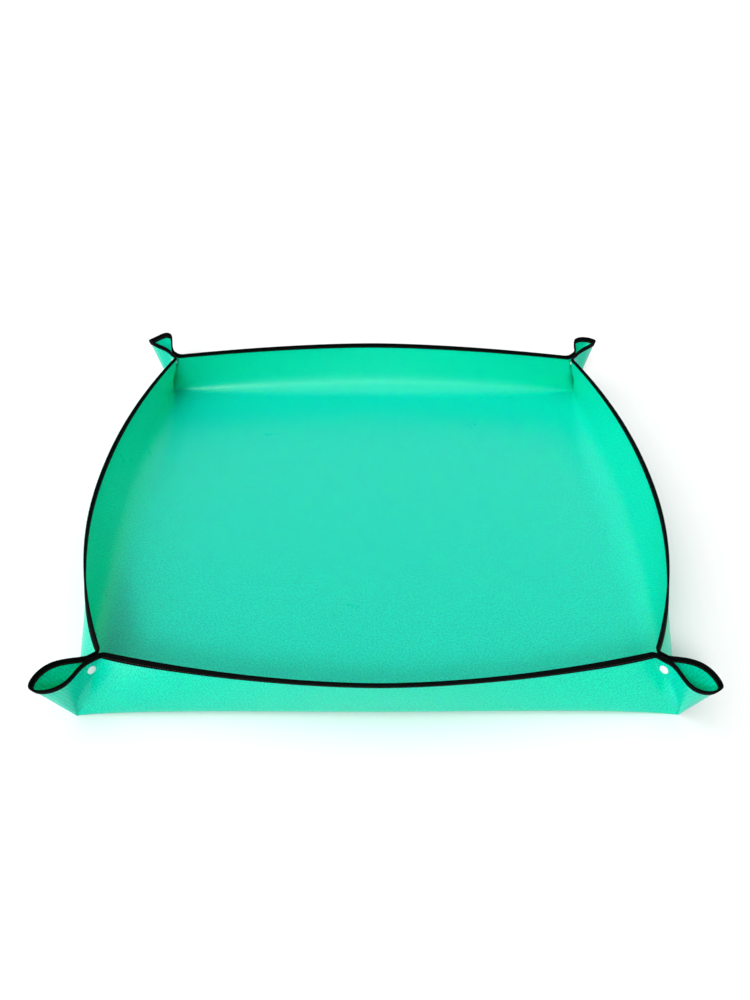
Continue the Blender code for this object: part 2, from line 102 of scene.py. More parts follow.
# Pinches: inset, height, belly of the walls beside it, and softness of its crease at the rim
FRONT_LEFT_PINCH = (0.0385, 0.0850, 0.0100, 0.0060)
FRONT_RIGHT_PINCH = (0.0385, 0.0850, 0.0080, 0.0060)
BACK_PINCH = (0.0240, 0.0925, 0.0010, 0.0100)

# Ears: reach and height of the tip, and length of the loop's round end
FRONT_LEFT_EAR = (0.0320, 0.0970, 0.0290)
FRONT_RIGHT_EAR = (0.0285, 0.0925, 0.0240)
BACK_LEFT_EAR = (0.0370, 0.0945, 0.0340)
BACK_RIGHT_EAR = (0.0335, 0.0985, 0.0280)
EAR_PINCH_LENGTH = 0.0180
PINCH_SHARE = 0.2
WIDEST_SHARE = 0.6
EAR_TABLE_SHARES = np.linspace(0, 1, 401)

# Corners: side signs, pinch, ear, then width and arch of the half on the front or back wall's side and
# of the half on the side wall's
CORNERS = {
    "front_left": ((-1, -1), FRONT_LEFT_PINCH, FRONT_LEFT_EAR, (0.0205, 0.0005), (0.0130, 0.0095)),
    "front_right": ((1, -1), FRONT_RIGHT_PINCH, FRONT_RIGHT_EAR, (0.0260, 0.0040), (0.0085, 0.0130)),
    "back_left": ((-1, 1), BACK_PINCH, BACK_LEFT_EAR, (0.0210, 0.0170), (0.0170, 0.0130)),
    "back_right": ((1, 1), BACK_PINCH, BACK_RIGHT_EAR, (0.0240, 0.0050), (0.0110, 0.0080)),
}
# Walls: outward and along directions, corners, rim lean, height and bow power, bow and softness of the foot
WALLS = {
    "front": ((0, -1), (1, 0), "front_left", "front_right", 0.022, 0.0915, 1.8, 0.0, 0.020),
    "back": ((0, 1), (-1, 0), "back_right", "back_left", 0.024, 0.0930, 1.7, 0.001, 0.034),
    "left": ((-1, 0), (0, -1), "back_left", "front_left", 0.047, 0.0825, 2.1, 0.003, 0.030),
    "right": ((1, 0), (0, 1), "front_right", "back_right", 0.047, 0.0825, 2.1, 0.003, 0.030),
}

# Slack of the floor: height, radians a metre to the right and to the back, and phase of each long wave, and
# the reach over which they die out towards the walls
FLOOR_WAVES = ((1.0, 23, 9, 0.7), (0.8, -14, 27, 2.1), (0.6, 41, 19, 4.0))
FLOOR_FADE = 0.12

# Fineness of the surfaces, and steps along, round and across them that their slopes are taken over
ALONG_STEP = 0.0001
ROUND_STEP = 0.0002
SLOPE_STEP = 0.00002
FLOOR_STEPS = 150
WALL_HALF_STEPS = 110
WALL_CROWDING = 1.8
STRIP_ROWS = 10
WALL_ROWS = 36
ROW_CROWDING = 1.3
EAR_STEPS = 90
EAR_CROWDING = 1.4
EAR_ROWS = 34
SHARP_ANGLE = math.radians(55)

# Binding: room for the cloth in it, share of its width where the lower edge is tucked in, swell of its
# sides, and the stitches' height above that edge with the width and depth of their groove
TAPE_CLEARANCE = 0.00004
TAPE_TUCK_SHARE = 0.08
TAPE_SWELL = 0.10
STITCH_ABOVE_EDGE = 0.0023
GROOVE_WIDTH = 0.0009
GROOVE_DEPTH = 0.22
TAPE_STATIONS = np.concatenate([[0.0, 0.03, TAPE_TUCK_SHARE], np.linspace(0.14, 0.94, 12), [1.0]])
TAPE_ARC_STEPS = 5

# Stitches: where they sit in the binding's thickness, their height by their width, and their fineness
STITCH_SEAT_SHARE = 0.86
STITCH_FLATNESS = 0.6
STITCH_RINGS = 5
STITCH_SIDES = 6

# Snap fastener
SNAP_BELOW_RIM = 0.0190
SNAP_FROM_CREASE = 0.0072
CAP_RADIUS = 0.0062
CAP_RIM = 0.0006
CAP_CROWN = 0.0011
POST_RADIUS = 0.0010
RIVET_RADIUS = 0.0015
RIVET_LENGTH = 0.0005
SNAP_CLEARANCE = 0.0003
SNAP_BODY_RADIUS = 0.0050
SNAP_WEB = 0.0010
SOCKET_DEPTH = 0.0023
SOCKET_MOUTH = 0.0026
SOCKET_LIP = 0.0034
STUD_ENTRY = 0.0010
SNAP_EDGE_ROUND = 0.0003
EDGE_ROUND_POINTS = 4
DOME_STEPS = 24
TURN_STEPS = 72

# Lamps: name, direction that the light comes from, apparent width in degrees, strength
LAMPS = (
    ("glint", (-0.26, -0.90, 0.76), 14, 1.05),
    ("overhead", (0.0, 0.0, 1.0), 60, 0.4),
    ("left", (-1.0, -0.35, 0.9), 80, 1.65),
    ("front", (0.0, -1.0, 0.6), 120, 0.45),
)

# Camera: lens and sensor in millimetres, place, and angles down, to the right and about its line of sight
LENS = 33.013
SENSOR = 36.0
CAMERA_PLACE = (-0.02104, -1.17729, 1.00763)
CAMERA_PITCH = math.radians(39.313)
CAMERA_YAW = math.radians(0.939)
CAMERA_ROLL = math.radians(0.691)

BENCH_REACH = 30.0
WHITE = (1.0, 1.0, 1.0, 1.0)


def flat(pair):
    """A level direction from its two signs."""
    return np.array([pair[0], pair[1], 0.0])


def unit(vectors):
    """The same directions with a length of one."""
    return vectors / np.linalg.norm(vectors, axis=-1, keepdims=True)


def eased(share):
    """Rises from 0 to 1 with level ends: 3 t squared less 2 t cubed."""
    share = np.clip(share, 0, 1)
    return share * share * (3 - 2 * share)


def bend(before, corner, after, share):
    """A parabola from before to after whose end slopes aim at the corner: the quadratic Bezier curve."""
    share = share[..., None]
    return (1 - share) ** 2 * before + 2 * share * (1 - share) * corner + share**2 * after


def half_name(wall_name):
    """What an ear's half is called: after the front or back wall, or side for the left or right one."""
    return "side" if wall_name in ("left", "right") else wall_name


class Corner:
    """One corner: the apex on the floor, the pinch at the rim and the ear that runs out past it."""

    def __init__(self, name):
        signs, pinch, ear, *self.halves = CORNERS[name]
        self.inset, self.height, self.belly, self.rim_softness = pinch
        reach, self.ear_height, self.loop_length = ear
        self.name = name
        self.out = unit(flat(signs))
        self.apex = HALF * flat(signs) + FLOOR_LEVEL * UP
        self.pinch = (HALF - self.inset) * flat(signs) + self.height * UP
        self.ear_length = math.sqrt(2) * (self.inset + reach)
        self.table_along = self.along(EAR_TABLE_SHARES)

    def aside(self, wall_out):
        """Level direction square to the ear's middle plane, to the side that the given wall is on."""
        return unit(wall_out - np.dot(wall_out, self.out) * self.out)

    def square_to_crease(self):
        """Direction in the ear's middle plane, square to the crease and pointing out along the ear."""
        crease = self.pinch - self.apex
        return unit(self.out - np.dot(self.out, unit(crease)) * unit(crease))

    def progress(self, share):
        """How far a strand of the loop has swung out, 0 to 1, and the angle of its turn round the end."""
        swing = np.clip((share - PINCH_SHARE) / (WIDEST_SHARE - PINCH_SHARE), 0, 1)
        turn = math.pi / 2 * np.maximum((share - WIDEST_SHARE) / (1 - WIDEST_SHARE), 0)
        return swing, turn

    def along(self, share):
        """Distance out along the ear: straight through the pinch, then on to the ellipse of the loop's end.

        Past share 1 it runs back along the other half.
        """
        swing, turn = self.progress(share)
        widest = self.ear_length - self.loop_length
        along = EAR_PINCH_LENGTH * np.minimum(share / PINCH_SHARE, 1)
        return along + (widest - EAR_PINCH_LENGTH) * swing + self.loop_length * np.sin(turn)

    def ear(self, wall_out, share, rise):
        """One ear half: straight lines from the apex (rise 0) to the loop at the rim (rise 1).

        Seen from above, the rim swings out to the half's width in an S and closes in a quarter of an
        ellipse. Past the pinch it arches, by half a sine wave, over the line from the pinch to the tip.
        """
        width, arch = self.halves[1] if wall_out[0] else self.halves[0]
        swing, turn = self.progress(share)
        along = self.along(share)
        aside = (PINCH_SPREAD + (width - PINCH_SPREAD) * eased(swing)) * np.cos(turn)
        across = self.aside(wall_out)
        past_pinch = np.clip((along - EAR_PINCH_LENGTH) / (self.ear_length - EAR_PINCH_LENGTH), 0, 1)
        lift = self.height + (self.ear_height - self.height) * along / self.ear_length
        lift = lift + arch * np.sin(math.pi * past_pinch)
        level = (HALF - self.inset) * math.sqrt(2) + along
        rim = level[..., None] * self.out + aside[..., None] * across + lift[..., None] * UP
        start = self.apex + APEX_SPREAD * np.cos(turn)[..., None] * across
        return start + rise[..., None] * (rim - start)


class Wall:
    """One wall of the cloth, with its strip of the floor inside the fold and the start of both ears."""

    def __init__(self, name):
        out, along, first, second, *shape = WALLS[name]
        self.lean, self.height, self.power, self.foot_bow, self.softness = shape
        self.name = name
        self.out, self.along = flat(out), flat(along)
        self.corners = (Corner(first), Corner(second))

    def sharp(self, across, drop):
        """The wall before its fold is softened. Across runs from -1 to 1, drop from the fold to the rim.

        The rim leans out in the middle by a power of the distance from it and is drawn in at both
        pinches. Each section is a straight line from fold to rim with a belly, a parabola that dies
        out at the creases. A negative drop runs in over the floor, where the strip is mitred.
        """
        out, along = self.out, self.along
        near = [c.apex + APEX_SPREAD * c.aside(out) for c in self.corners]
        far = [c.pinch + PINCH_SPREAD * c.aside(out) for c in self.corners]
        second = (across > 0)[..., None]
        end_belly = np.where(across > 0, self.corners[1].belly, self.corners[0].belly)
        rise = np.clip(drop / WALL_REACH, 0, None)
        near_end = np.abs(across)

        middle = (HALF + self.lean) * out + self.height * UP
        rim = middle + (near_end**self.power)[..., None] * (np.where(second, far[1], far[0]) - middle)
        ends = [point @ along for point in far]
        rim_along = (ends[0] + ends[1]) / 2 + (ends[1] - ends[0]) / 2 * across
        rim = rim + (rim_along - rim @ along)[..., None] * along

        foot = HALF * out + FLOOR_LEVEL * UP
        foot = foot + (near_end**BELLY_FALL_POWER)[..., None] * (np.where(second, near[1], near[0]) - foot)
        foot_bow = self.foot_bow * (1 - across**2) ** 2
        foot = foot + foot_bow[..., None] * out
        foot = foot + ((near[1] @ along) * across - foot @ along)[..., None] * along

        chord = rim - foot
        chord = chord - (chord @ along)[..., None] * along
        belly_way = unit(np.cross(along, chord))
        belly_way = belly_way * np.sign(belly_way @ out)[..., None]
        peak = (BELLY_RISE_POWER / (BELLY_RISE_POWER + BELLY_FALL_POWER)) ** (1 / BELLY_FALL_POWER)
        full = peak**BELLY_RISE_POWER * (1 - peak**BELLY_FALL_POWER)
        share = near_end**BELLY_RISE_POWER * (1 - near_end**BELLY_FALL_POWER) / full
        belly = end_belly * share + MIDDLE_BELLY * (1 - across**2)
        arch = 4 * rise * (1 - rise) * belly
        wall = foot + rise[..., None] * (rim - foot) + arch[..., None] * belly_way

        inward = np.minimum(drop, 0) * (1 + foot_bow / SEAM_INSET)
        closing = (HALF - near[1] @ along) * eased(-drop / SPREAD_CLOSED_PAST)
        return wall + inward[..., None] * out + (across * (inward + closing))[..., None] * along

    def folded(self, across, drop):
        """The wall with its fold softened: a parabola over a radius that is crisp at the corners."""
        radius = FOLD_CRISP + (self.softness - FOLD_CRISP) * (1 - np.abs(across) ** FOLD_CRISP_POWER)
        share = np.clip((drop + radius) / (2 * radius), 0, 1)
        before, corner, after = (self.sharp(across, side * radius) for side in (-1, 0, 1))
        soft = bend(before, corner, after, share)
        return np.where((np.abs(drop) < radius)[..., None], soft, self.sharp(across, drop))

    def crease_radius(self, corner, rise):
        """Softness of a crease: small at the apex and the snap, full between them and at the rim."""
        low = np.sin(math.pi * np.clip(rise / CREASE_SOFT_BELOW_SHARE, 0, 1)) ** 2
        high = eased((rise - CREASE_RIM_ABOVE_SHARE) / (1 - CREASE_RIM_ABOVE_SHARE))
        crisp = CREASE_CRISP * np.clip(rise / CREASE_SHARP_BELOW_SHARE, 0.01, 1)
        return crisp + CREASE_SOFT * low + (corner.rim_softness - CREASE_CRISP) * high

    def turned(self, end, past, drop, straight):
        """The surface beside a crease: a parabola from wall to ear within the crease's radius.

        End is 0 or 1, past the distance beyond the crease, and straight the surface outside the radius.
        """
        sign = (-1.0, 1.0)[end]
        corner = self.corners[end]
        rise = np.clip(drop / WALL_REACH, LEAST_RISE, 1)
        radius = self.crease_radius(corner, rise)
        ear_share = np.interp(radius / rise, corner.table_along, EAR_TABLE_SHARES)
        before = self.folded(sign * (1 - radius / HALF), drop)
        middle = self.folded(sign + 0 * radius, drop)
        after = corner.ear(self.out, ear_share, rise)
        share = np.clip(0.5 + past / radius / 2, 0, 1)
        soft = bend(before, middle, after, share)
        return np.where(((np.abs(past) < radius) & (drop > 0))[..., None], soft, straight)

    def wall_point(self, across, drop):
        """The cloth's middle between both creases."""
        clipped = np.clip(across, -1, 1)
        point = self.folded(clipped, drop)
        for end, sign in ((0, -1), (1, 1)):
            near = across * sign > 0.5
            turned = self.turned(end, (across * sign - 1) * HALF, drop, point)
            point = np.where(near[..., None], turned, point)
        return point

    def ear_point(self, end, share, drop):
        """The cloth's middle past a crease, from share 0 at the crease to 1 at the ear's tip."""
        rise = np.clip(drop / WALL_REACH, LEAST_RISE, None)
        corner = self.corners[end]
        past = corner.along(share) * rise
        sign = (-1.0, 1.0)[end]
        wall = self.folded(sign * (1 + np.minimum(past, 0) / HALF), drop)
        ear = corner.ear(self.out, np.maximum(share, 0), rise)
        straight = np.where((share < 0)[..., None], wall, ear)
        past = np.where(share > 1, corner.ear_length, past)
        return self.turned(end, past, drop, straight)

    def flat_place(self, past_middle, drop):
        """Where a point of the wall or ear lies on the flat cut sheet."""
        place = (HALF + drop)[..., None] * self.out + past_middle[..., None] * self.along
        return place[..., :2]


def floor_height(x, y, rise):
    """Slack of the floor panel: the square of three long crossing sine waves, dying out near the walls."""
    waves = sum(height * np.sin(right * x + back * y + phase) for height, right, back, phase in FLOOR_WAVES)
    highest = sum(wave[0] for wave in FLOOR_WAVES)
    inner = HALF - SEAM_INSET
    fade = eased((inner - np.abs(x)) / FLOOR_FADE) * eased((inner - np.abs(y)) / FLOOR_FADE)
    return FLOOR_LEVEL + rise * fade * (0.5 + 0.5 * waves / highest) ** 2


def slopes(surface, first, second, first_step, second_step):
    """Points of a surface, and its unit directions along, towards the second parameter, and outward."""
    point = surface(first, second)
    tangent = unit(surface(first + first_step, second) - surface(first - first_step, second))
    towards = surface(first, second + second_step) - surface(first, second - second_step)
    towards = unit(towards - np.sum(towards * tangent, axis=-1, keepdims=True) * tangent)
    return point, tangent, towards, np.cross(tangent, towards)


def shell_faces(rows, columns):
    """Quads of a closed shell between an outer and an inner grid of rows x columns points."""
    index = np.arange(rows * columns).reshape(rows, columns)

    def quads(a, b, c, d):
        return np.stack([a.ravel(), b.ravel(), c.ravel(), d.ravel()], axis=1)

    inner = index + rows * columns
    outer_layer = quads(index[:-1, :-1], index[1:, :-1], index[1:, 1:], index[:-1, 1:])
    inner_layer = quads(inner[:-1, :-1], inner[:-1, 1:], inner[1:, 1:], inner[1:, :-1])
    low = quads(index[1:, 0], index[:-1, 0], inner[:-1, 0], inner[1:, 0])
    high = quads(index[:-1, -1], index[1:, -1], inner[1:, -1], inner[:-1, -1])
    start = quads(index[0, :-1], index[0, 1:], inner[0, 1:], inner[0, :-1])
    end = quads(index[-1, 1:], index[-1, :-1], inner[-1, :-1], inner[-1, 1:])
    return np.concatenate([outer_layer, inner_layer, low, high, start, end])


def new_piece(name, points, faces, material, places=None, merge=0.0):
    """A mesh object at the origin. Places are the points' own texture coordinates, in metres."""
    points = points.reshape(-1, 3)
    mesh = bpy.data.meshes.new(name)
    mesh.vertices.add(len(points))
    mesh.vertices.foreach_set("co", points.ravel())
    mesh.loops.add(faces.size)
    mesh.loops.foreach_set("vertex_index", faces.ravel())
    mesh.polygons.add(len(faces))
    mesh.polygons.foreach_set("loop_start", np.arange(0, faces.size, faces.shape[1]))
    mesh.update(calc_edges=True)
    if places is not None:
        layer = mesh.uv_layers.new(name="cut")
        layer.data.foreach_set("uv", places.reshape(-1, 2)[faces.ravel()].ravel())
    if merge:
        bm = bmesh.new()
        bm.from_mesh(mesh)
        bmesh.ops.remove_doubles(bm, verts=bm.verts, dist=merge)
        bm.to_mesh(mesh)
        bm.free()
    mesh.validate()
    mesh.shade_smooth()
    mesh.set_sharp_from_angle(angle=SHARP_ANGLE)
    mesh.materials.append(material)
    obj = bpy.data.objects.new(name, mesh)
    bpy.context.scene.collection.objects.link(obj)
    return obj


def cloth_piece(name, point, normal, places):
    """A sheet of cloth: its middle surface moved half its thickness to each side."""
    aside = normal * bpy.context.scene.repotting_mat_sizes.cloth_thickness / 2
    points = np.stack([point + aside, point - aside])
    faces = shell_faces(*point.shape[:2])
    material = finish_of("coated_cloth", cloth_finish)
    return new_piece(name, points, faces, material, np.stack([places, places]), merge=2e-6)


def wall_stations():
    """Stations across a wall, crowding towards both creases by a power of the distance from them."""
    distance = np.linspace(0, 1, WALL_HALF_STEPS + 1) ** WALL_CROWDING
    return np.concatenate([-1 + distance, 1 - distance[-2::-1]])


def wall_rows():
    """Drops of a wall's rows, crowding towards the fold on both sides of it."""
    strip = -SEAM_INSET * np.linspace(1, 0, STRIP_ROWS + 1)[:-1] ** ROW_CROWDING
    return np.concatenate([strip, WALL_REACH * np.linspace(0, 1, WALL_ROWS + 1) ** ROW_CROWDING])


def ear_stations():
    """Stations round an ear half, crowding towards the crease."""
    return np.linspace(0, 1, EAR_STEPS + 1) ** EAR_CROWDING


def ear_surface(wall, end):
    """One ear half as a surface of share and drop, and its normal's sign."""

    def surface(share, drop):
        return wall.ear_point(end, share, drop)

    return surface, (-1, 1)[end]


def ear_grid(wall, end, drops):
    """Points, directions and flat places of an ear half, in order from the wall's side of it."""
    share, drop = np.meshgrid(ear_stations(), drops, indexing="ij")
    surface, sign = ear_surface(wall, end)
    point, tangent, towards, normal = slopes(surface, share, drop, ROUND_STEP, SLOPE_STEP)
    past = wall.corners[end].along(share) * np.clip(drop / WALL_REACH, 0, 1)
    places = wall.flat_place(sign * (HALF + past), drop)
    grids = (point, sign * tangent, towards, sign * normal, places)
    return [grid[::-1] for grid in grids] if end == 0 else list(grids)


def ear_name(wall, end):
    """Name of the ear half that runs on from a wall's end."""
    corner = wall.corners[end]
    return f"{corner.name}_ear_{half_name(wall.name)}"


def turn_at_fold(obj):
    """Bakes the piece's placement into its mesh."""
    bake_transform(obj)


def turn_at_crease(obj, wall, end):
    """Bakes the piece's placement into its mesh."""
    corner = wall.corners[end]
    way = corner.square_to_crease()
    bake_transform(obj)


def tape_section(width, half):
    """Profile of the folded tape: how far aside of the cloth and past its edge, outside and inside.

    Each half is a side with a half-round fold on top. The side swells by half a sine wave, the
    stitching pulls a bell curve's groove into it, and its lower edge is tucked in by a quarter circle.
    """
    cavity = SHEET_HALF + TAPE_CLEARANCE
    groove = np.exp(-(((TAPE_STATIONS * width - STITCH_ABOVE_EDGE) / GROOVE_WIDTH) ** 2))
    swell = 1 + TAPE_SWELL * np.sin(math.pi * TAPE_STATIONS) - GROOVE_DEPTH * groove
    tuck = np.sqrt(np.clip(1 - (1 - np.minimum(TAPE_STATIONS / TAPE_TUCK_SHARE, 1)) ** 2, 0.2, 1))
    side = cavity + (half - cavity) * swell * tuck
    past = (TAPE_STATIONS - 1) * width
    arc = np.linspace(0, math.pi, 2 * TAPE_ARC_STEPS + 1)[1:-1]
    outer_aside = np.concatenate([side, side[-1] * np.cos(arc), -side[::-1]])
    outer_past = np.concatenate([past, side[-1] * np.sin(arc), past[::-1]])
    inner_aside = np.concatenate([0 * side + cavity, cavity * np.cos(arc), 0 * side - cavity])
    inner_past = np.concatenate([past, cavity * np.sin(arc), past[::-1]])
    return outer_aside, outer_past, inner_aside, inner_past


def tape_piece(name, surface, stations, step, sign):
    """A binding: the tape's profile carried along the rim of a surface, following the cloth's faces.

    Sign is -1 where the surface's normal points inward, and the stations are then taken backwards.
    """
    sizes = bpy.context.scene.repotting_mat_sizes
    outer_aside, outer_past, inner_aside, inner_past = tape_section(sizes.tape_width, sizes.tape_thickness)

    def layer(aside, past):
        station, beyond = np.meshgrid(stations, past, indexing="ij")
        drop = WALL_REACH + np.minimum(beyond, 0)
        point, _, towards, normal = slopes(surface, station, drop, step, SLOPE_STEP)
        return point + sign * aside[None, :, None] * normal + np.maximum(beyond, 0)[..., None] * towards

    outer = layer(outer_aside, outer_past)
    inner = layer(inner_aside, inner_past)
    if sign < 0:
        outer, inner = outer[::-1], inner[::-1]
    middle = outer.mean(axis=1)
    length = np.concatenate([[0], np.cumsum(np.linalg.norm(np.diff(middle, axis=0), axis=1))])
    around = np.concatenate([[0], np.cumsum(np.hypot(np.diff(outer_aside), np.diff(outer_past)))])
    places = np.stack(np.meshgrid(length, around, indexing="ij"), axis=-1)
    faces = shell_faces(*outer.shape[:2])[:, ::-1]
    material = finish_of("edge_binding", tape_finish)
    return new_piece(name, np.stack([outer, inner]), faces, material, np.stack([places, places]))


def stitch_piece(name, point, tangent, towards, normal, sizes, material):
    """Stitches: one flattened ellipsoid at each point, six-sided, lying along the tangent."""
    length, width, height = sizes
    polar = np.linspace(0, math.pi, STITCH_RINGS)
    turn = np.linspace(0, 2 * math.pi, STITCH_SIDES + 1)[:-1]
    polar, turn = np.meshgrid(polar, turn, indexing="ij")
    x = length / 2 * np.cos(polar)
    y = width / 2 * np.sin(polar) * np.cos(turn)
    z = height * np.sin(polar) * np.sin(turn)

    def carried(values, direction):
        return values[None, :, :, None] * direction[:, None, None, :]

    points = point[:, None, None, :] + carried(x, tangent) + carried(y, towards) + carried(z, normal)
    count, rings, sides = points.shape[:3]
    index = np.arange(count * rings * sides).reshape(count, rings, sides)
    around = np.roll(index, -1, axis=2)
    quads = np.stack([index[:, :-1], index[:, 1:], around[:, 1:], around[:, :-1]], axis=-1).reshape(-1, 4)
    return new_piece(name, points, quads, material, merge=1e-7)


def even_stations(surface, stations, pitch, margin):
    """Stations that stand a pitch apart along a surface's rim, by the length of its polyline."""
    rim = surface(stations, np.full(stations.shape, WALL_REACH))
    length = np.concatenate([[0], np.cumsum(np.linalg.norm(np.diff(rim, axis=0), axis=1))])
    count = int((length[-1] - 2 * margin) / pitch)
    places = margin + (length[-1] - 2 * margin) * (np.arange(count) + 0.5) / count
    return np.interp(places, length, stations)


def snap_place(corner):
    """Middle of the snap on the ear's middle plane, and how far each sheet's middle stands from it."""
    rise = 1 - SNAP_BELOW_RIM / corner.height
    share = np.array([SNAP_FROM_CREASE / rise / EAR_PINCH_LENGTH * PINCH_SHARE])
    wall_out = flat((0, np.sign(corner.out[1])))
    point = corner.ear(wall_out, share, np.array([rise]))[0]
    spread = (point - corner.apex) @ corner.aside(wall_out)
    return point - spread * corner.aside(wall_out), spread


def rounded(profile):
    """A profile whose corners are replaced by parabolas, each no longer than a third of its edges."""
    profile = np.array(profile, float)
    made = [profile[:1]]
    for before, corner, after in zip(profile[:-2], profile[1:-1], profile[2:]):
        lengths = [np.linalg.norm(before - corner), np.linalg.norm(after - corner)]
        reach = min(SNAP_EDGE_ROUND, min(lengths) / 3)
        start = corner + (before - corner) / lengths[0] * reach
        stop = corner + (after - corner) / lengths[1] * reach
        made.append(bend(start, corner, stop, np.linspace(0, 1, EDGE_ROUND_POINTS)))
    return np.concatenate(made + [profile[-1:]])


def turned_piece(name, profile, place, axis, material):
    """A profile of radius and height turned about an axis through a place."""
    turn = np.linspace(0, 2 * math.pi, TURN_STEPS + 1)[:-1]
    axis = unit(np.asarray(axis, float))
    first = unit(np.cross(axis, UP))
    second = np.cross(axis, first)
    ring = np.cos(turn)[:, None] * first + np.sin(turn)[:, None] * second
    points = place + profile[:, None, 0:1] * ring[None] + profile[:, None, 1:2] * axis
    index = np.arange(points.shape[0] * TURN_STEPS).reshape(-1, TURN_STEPS)
    around = np.roll(index, -1, axis=1)
    quads = np.stack([index[:-1], index[1:], around[1:], around[:-1]], axis=-1).reshape(-1, 4)
    return new_piece(name, points, quads, material, merge=1e-6)


def cap_profile(seat, post_end):
    """Cap, from its crown down: a low dome over a thin rim, and a post with a flared rivet head."""
    rim_top = seat + CAP_RIM
    crown = [
        (CAP_RADIUS * math.sin(turn), rim_top + CAP_CROWN * math.cos(turn))
        for turn in np.linspace(0, math.pi / 2, DOME_STEPS + 1)
    ]
    under = rounded([
        crown[-1], (CAP_RADIUS, seat), (POST_RADIUS, seat), (POST_RADIUS, post_end + RIVET_LENGTH),
        (RIVET_RADIUS, post_end), (0, post_end),
    ])
    return np.concatenate([crown[:-1], under])


def countersink(back):
    """The hole through a socket or stud: widened for the rivet's head, then straight to its back."""
    head_end = back - SNAP_WEB
    hole = POST_RADIUS + SNAP_CLEARANCE
    return [(RIVET_RADIUS + SNAP_CLEARANCE, head_end), (hole, head_end + RIVET_LENGTH), (hole, back)]


def body_back(back):
    """The back of a socket or stud, which lies on its sheet: from its hole to its bevelled edge."""
    edge = SNAP_EDGE_ROUND
    hole = POST_RADIUS + SNAP_CLEARANCE
    return [(hole, back), (SNAP_BODY_RADIUS - edge, back), (SNAP_BODY_RADIUS, back - edge)]


def socket_profile(back):
    """Socket: a round body whose mouth opens away from its sheet."""
    mouth = back - SOCKET_DEPTH
    return rounded([
        *body_back(back), (SOCKET_LIP + SNAP_EDGE_ROUND, mouth), (SOCKET_MOUTH, mouth),
        (SOCKET_MOUTH, back - SNAP_WEB), *countersink(back),
    ])


def stud_profile(back):
    """Stud: a flange with a hollow round boss that enters the socket."""
    face = back - SNAP_WEB
    tip = face - SNAP_CLEARANCE - STUD_ENTRY
    boss = SOCKET_MOUTH - SNAP_CLEARANCE
    edge = SNAP_EDGE_ROUND
    return rounded([
        *body_back(back), (SNAP_BODY_RADIUS, face), (boss, face), (boss, tip + edge), (boss - edge, tip),
        (RIVET_RADIUS + SNAP_CLEARANCE, tip), *countersink(back),
    ])


class Nodes:
    """Builds the nodes of one tree, for a material or for the world."""

    def __init__(self, tree):
        self.tree = tree

    def node(self, kind, inputs=None, **settings):
        """A node with its inputs linked or set, and its own settings."""
        made = self.tree.nodes.new(kind)
        for key, value in settings.items():
            setattr(made, key, value)
        for key, value in (inputs or {}).items():
            self.give(made.inputs[key], value)
        return made

    def give(self, socket, value):
        """Links a node's output to an input, or sets the input to a plain value."""
        if isinstance(value, bpy.types.NodeSocket):
            self.tree.links.new(value, socket)
        else:
            socket.default_value = value

    def math(self, operation, *values, clamp=False):
        """The result of one sum or other operation on values or outputs."""
        made = self.node("ShaderNodeMath", operation=operation, use_clamp=clamp)
        for socket, value in zip(made.inputs, values):
            self.give(socket, value)
        return made.outputs[0]

    def between(self, value, low, high):
        """A value from 0 to 1 carried over to the range from low to high."""
        made = self.node("ShaderNodeMapRange", {"Value": value, "To Min": low, "To Max": high})
        return made.outputs[0]

    def seen(self):
        """1 for what is seen, straight, in a reflection or through something clear; 0 for the light."""
        path = self.node("ShaderNodeLightPath")
        seen = self.math("MAXIMUM", path.outputs["Is Camera Ray"], path.outputs["Is Glossy Ray"])
        return self.math("MAXIMUM", seen, path.outputs["Is Transmission Ray"])


class Finish(Nodes):
    """Builds one material's nodes on a Principled shader."""

    def __init__(self, name):
        self.material = bpy.data.materials.new(name)
        self.material.use_nodes = True
        super().__init__(self.material.node_tree)
        self.shader = self.tree.nodes["Principled BSDF"]

    def cut_place(self):
        """Where a point lies on the flat cut cloth or tape, in metres."""
        return self.node("ShaderNodeUVMap", uv_map="cut").outputs[0]

    def solid_place(self):
        """Where a point lies in the object's own frame."""
        return self.node("ShaderNodeTexCoord").outputs["Object"]

    def noise(self, vector, scale, detail, roughness=0.5):
        """Smooth noise from 0 to 1, with so many lumps to the metre."""
        inputs = {"Vector": vector, "Scale": scale, "Detail": detail, "Roughness": roughness}
        return self.node("ShaderNodeTexNoise", inputs).outputs["Fac"]

    def bands(self, vector, period, way):
        """Bands across X or Y, a period of metres apart: the texture turns 20 radians to a unit."""
        inputs = {"Vector": vector, "Scale": math.pi / 10 / period}
        return self.node("ShaderNodeTexWave", inputs, bands_direction=way).outputs["Fac"]

    def mixed(self, share, first, second):
        """The first colour where the share is 0, and the second where it is 1."""
        made = self.node("ShaderNodeMix", data_type="RGBA")
        self.give(made.inputs[0], share)
        self.give(made.inputs[6], first)
        self.give(made.inputs[7], second)
        return made.outputs[2]

    def bump(self, height, distance):
        """Lets the skin stand out by a distance in metres where the height is 1."""
        made = self.node("ShaderNodeBump", {"Height": height, "Distance": distance, "Strength": 1.0})
        self.give(self.shader.inputs["Normal"], made.outputs[0])

    def set(self, **values):
        """Sets or links the shader's inputs, with their names' spaces as underscores."""
        for key, value in values.items():
            self.give(self.shader.inputs[key.replace("_", " ")], value)


def shade(colour, value):
    """A colour made darker or paler by a factor."""
    return (*[channel * value for channel in colour[:3]], 1.0)


